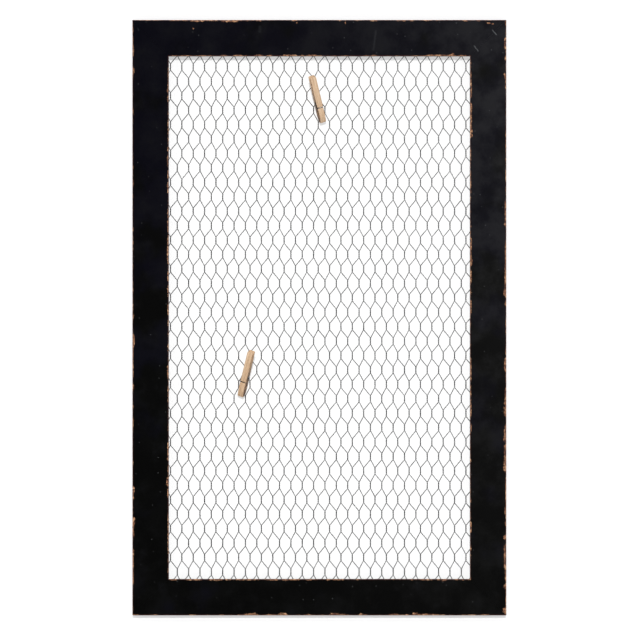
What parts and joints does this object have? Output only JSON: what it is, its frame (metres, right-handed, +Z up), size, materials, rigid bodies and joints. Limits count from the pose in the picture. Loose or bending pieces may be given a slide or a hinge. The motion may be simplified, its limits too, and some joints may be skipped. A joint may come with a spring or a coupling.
{
  "type": "chicken wire memo board",
  "caption": "Tall wall memo board: a mitred black wooden frame over hexagonal wire netting, with spring clothespins gripping the netting and ring hangers on the back.",
  "frame": {"origin": "back face of the top rail, at the middle of its length and width", "axes": "+Z up along the board's height, +X along its width, -Y out of its front, +Y towards the wall"},
  "size_m": [0.628, 0.0475, 1],
  "materials": {
    "frame_paint": "satin black paint, rubbed through to brown wood along the edges",
    "netting_wire": "galvanised wire",
    "staple_steel": "bright steel",
    "corner_nail_steel": "plain steel",
    "hanger_plate": "zinc plated",
    "hanger_ring_steel": "zinc plated",
    "screw_steel": "zinc plated",
    "pin_wood": "bare pale wood",
    "pin_spring_wire": "spring steel wire"
  },
  "bodies": {
    "board": {"frame_top_rail": "frame_paint", "frame_bottom_rail": "frame_paint", "frame_left_stile": "frame_paint", "frame_right_stile": "frame_paint", "wire_netting": "netting_wire", "top_staple_1": "staple_steel", "top_staple_2": "staple_steel", "top_staple_3": "staple_steel", "top_staple_4": "staple_steel", "top_staple_5": "staple_steel", "bottom_staple_1": "staple_steel", "bottom_staple_2": "staple_steel", "bottom_staple_3": "staple_steel", "bottom_staple_4": "staple_steel", "bottom_staple_5": "staple_steel", "left_staple_1": "staple_steel", "left_staple_2": "staple_steel", "left_staple_3": "staple_steel", "left_staple_4": "staple_steel", "left_staple_5": "staple_steel", "left_staple_6": "staple_steel", "left_staple_7": "staple_steel", "left_staple_8": "staple_steel", "left_staple_9": "staple_steel", "right_staple_1": "staple_steel", "right_staple_2": "staple_steel", "right_staple_3": "staple_steel", "right_staple_4": "staple_steel", "right_staple_5": "staple_steel", "right_staple_6": "staple_steel", "right_staple_7": "staple_steel", "right_staple_8": "staple_steel", "right_staple_9": "staple_steel", "top_left_corner_nail_1": "corner_nail_steel", "top_left_corner_nail_2": "corner_nail_steel", "top_right_corner_nail_1": "corner_nail_steel", "top_right_corner_nail_2": "corner_nail_steel", "bottom_left_corner_nail_1": "corner_nail_steel", "bottom_left_corner_nail_2": "corner_nail_steel", "bottom_right_corner_nail_1": "corner_nail_steel", "bottom_right_corner_nail_2": "corner_nail_steel", "left_hanger_strap": "hanger_plate", "left_hanger_screw_1": "screw_steel", "left_hanger_screw_2": "screw_steel", "right_hanger_strap": "hanger_plate", "right_hanger_screw_1": "screw_steel", "right_hanger_screw_2": "screw_steel", "upper_pin_rear_leg": "pin_wood", "upper_pin_spring": "pin_spring_wire", "lower_pin_rear_leg": "pin_wood", "lower_pin_spring": "pin_spring_wire"},
    "upper_pin_front": {"upper_pin_front_leg": "pin_wood"},
    "lower_pin_front": {"lower_pin_front_leg": "pin_wood"},
    "left_hanger_ring": {"left_hanger_ring": "hanger_ring_steel"},
    "right_hanger_ring": {"right_hanger_ring": "hanger_ring_steel"}
  },
  "joints": [
    {"name": "upper_pin_open", "type": "hinge", "parent": "board", "child": "upper_pin_front", "pos_m": [-0.00207, -0.01902, -0.1086], "axis": [-0.9264, -0.2172, -0.3076], "range_deg": [0, 8.5], "stiffness_Nm_per_rad": 0.3, "springref_deg": -20.05, "deforming": ["upper_pin_spring"]},
    {"name": "lower_pin_open", "type": "hinge", "parent": "board", "child": "lower_pin_front", "pos_m": [-0.1242, -0.01902, -0.5694], "axis": [-0.9264, 0.2172, 0.3076], "range_deg": [0, 8.5], "stiffness_Nm_per_rad": 0.3, "springref_deg": -20.05, "deforming": ["lower_pin_spring"]},
    {"name": "left_hanger_ring_swing", "type": "hinge", "parent": "board", "child": "left_hanger_ring", "pos_m": [-0.2775, 0.0027, -0.0595], "axis": [1, 0, 0], "range_deg": [0, 180]},
    {"name": "right_hanger_ring_swing", "type": "hinge", "parent": "board", "child": "right_hanger_ring", "pos_m": [0.2775, 0.0027, -0.0595], "axis": [1, 0, 0], "range_deg": [0, 180]}
  ]
}
